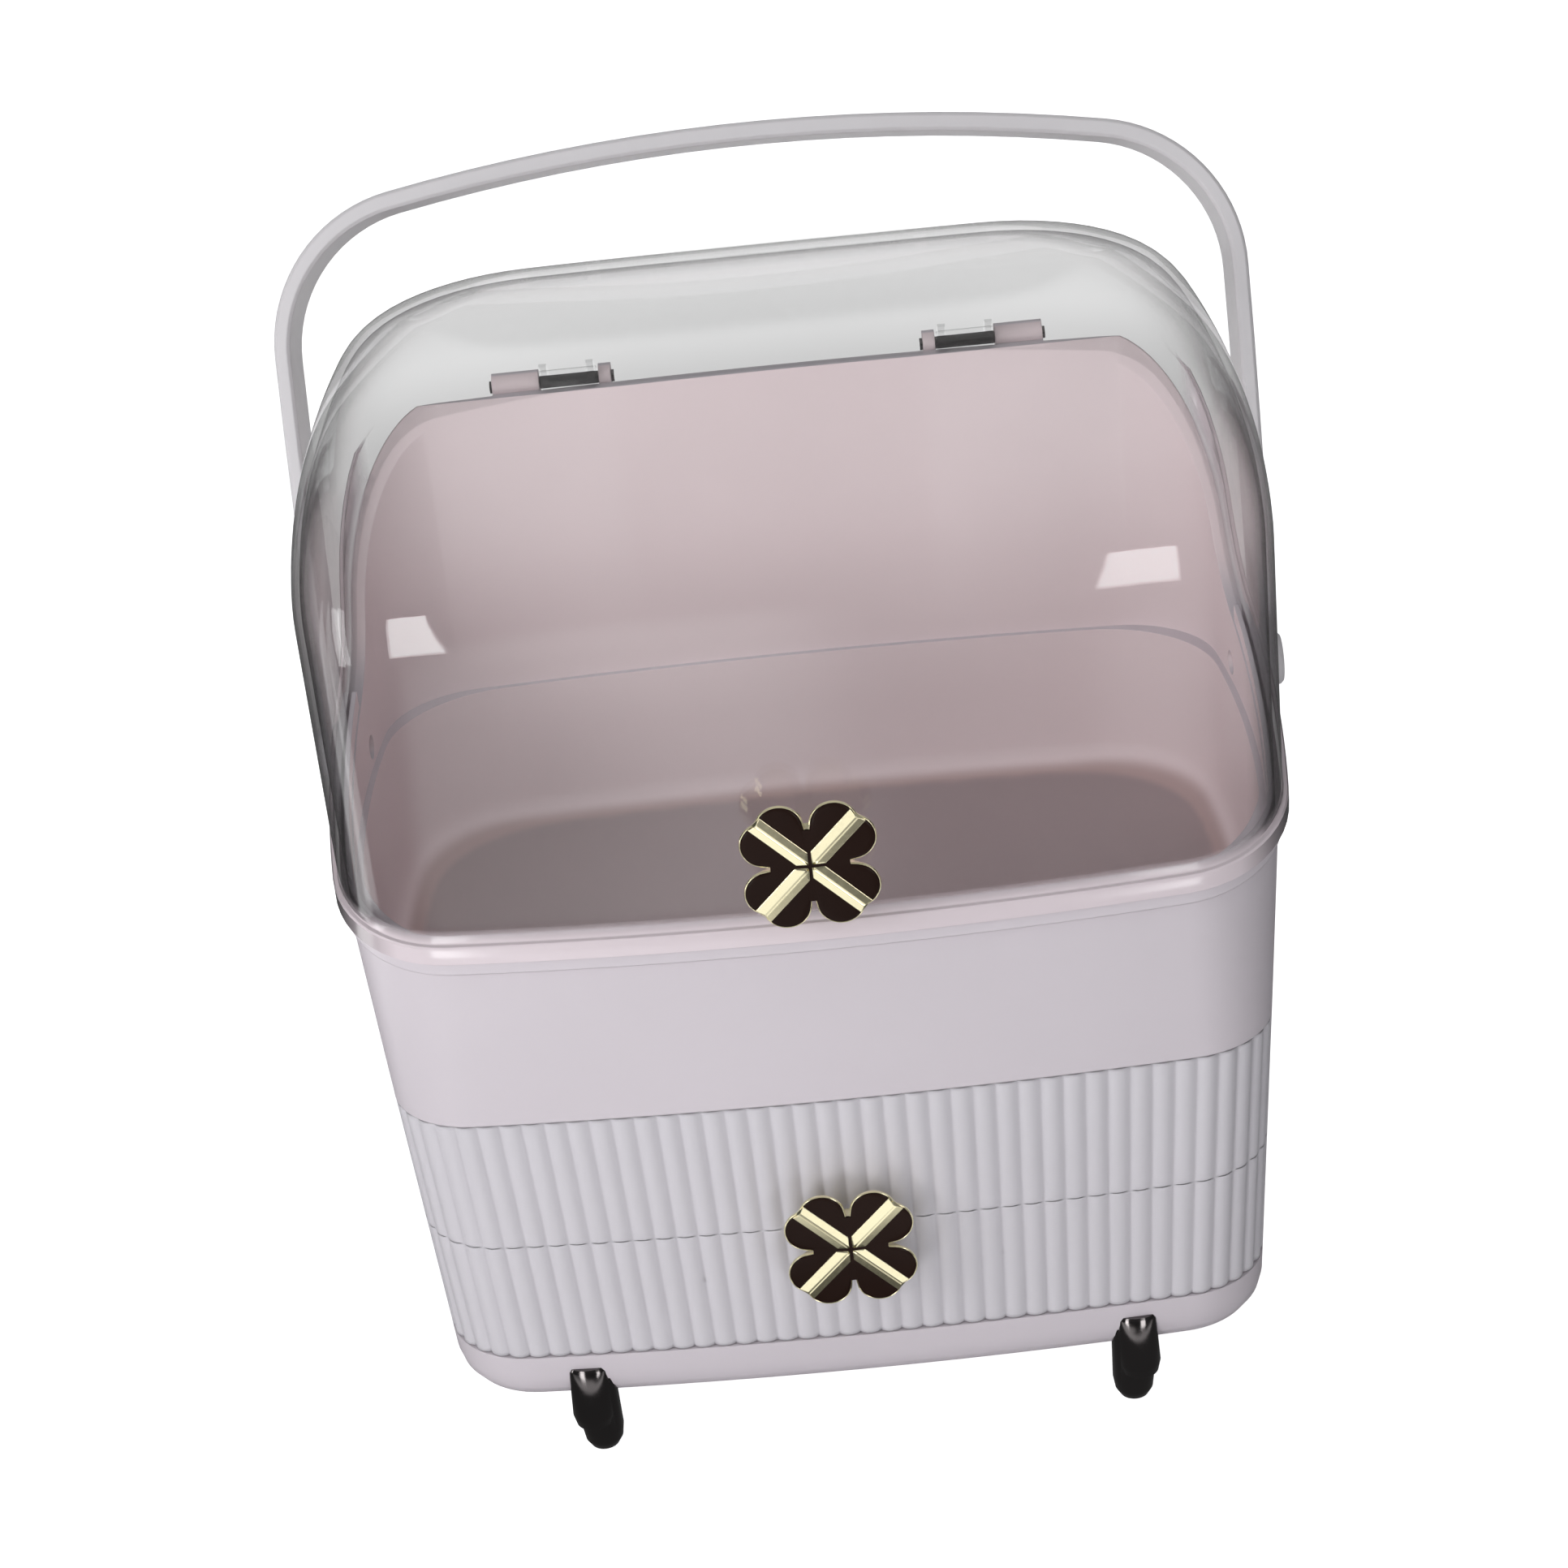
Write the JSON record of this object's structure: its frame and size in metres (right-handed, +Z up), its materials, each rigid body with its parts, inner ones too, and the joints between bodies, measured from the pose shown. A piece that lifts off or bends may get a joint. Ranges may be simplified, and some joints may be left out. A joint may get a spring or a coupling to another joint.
{
  "type": "makeup storage case with handle",
  "caption": "Tabletop makeup case: tapered tub with a clear hinged hood, a ribbed drawer, clover knobs, metal feet and a swinging carry handle.",
  "frame": {"origin": "bottom centre of the overall box, on the feet's contact plane", "axes": "+Z up, the drawer and hood front face -Y, +X to the right seen from the front"},
  "size_m": [0.3144, 0.2173, 0.3843],
  "materials": {
    "body_plastic": "pale lilac white, soft sheen",
    "rib_plastic": "pale lilac white, ribbed, soft sheen",
    "tray_plastic": "pale, plain inside finish",
    "clear_plastic": "clear, slightly smoky, polished",
    "handle_plastic": "white, soft sheen",
    "gold": "pale gold plating, polished",
    "dark_enamel": "near-black brown, glossy",
    "black_metal": "black chrome",
    "steel": "plain steel"
  },
  "bodies": {
    "case": {"upper_tub": "body_plastic", "base_pan": "body_plastic", "rib_shell": "rib_plastic", "foot_front_left": "black_metal", "foot_front_right": "black_metal", "foot_rear_left": "black_metal", "foot_rear_right": "black_metal", "foot_studs": "steel", "body_screws": "steel", "runner_left": "tray_plastic", "runner_right": "tray_plastic", "hinge_bracket_left": "body_plastic", "hinge_bracket_right": "body_plastic", "hinge_pin_left": "black_metal", "hinge_pin_right": "black_metal", "handle_pivot_left": "handle_plastic", "handle_pivot_right": "handle_plastic"},
    "drawer": {"drawer_front": "rib_plastic", "drawer_tray": "tray_plastic", "drawer_knob": "gold", "drawer_knob_inlay": "dark_enamel", "drawer_knob_screw": "steel", "drawer_screws": "steel"},
    "hood": {"hood_shell": "clear_plastic", "hood_knob": "gold", "hood_knob_inlay": "dark_enamel", "hood_knob_screw": "steel"},
    "handle": {"handle_strap": "handle_plastic"}
  },
  "joints": [
    {"name": "hood_hinge", "type": "hinge", "parent": "case", "child": "hood", "pos_m": [0, 0.0953, 0.3005], "axis": [-1, 0, 0], "range_deg": [0, 28]},
    {"name": "drawer_slide", "type": "slide", "parent": "case", "child": "drawer", "axis": [0, -1, 0], "range_m": [0, 0.095]},
    {"name": "handle_swing", "type": "hinge", "parent": "case", "child": "handle", "pos_m": [0, 0.0318, 0.204], "axis": [-1, 0, 0], "range_deg": [-105, 75]}
  ]
}
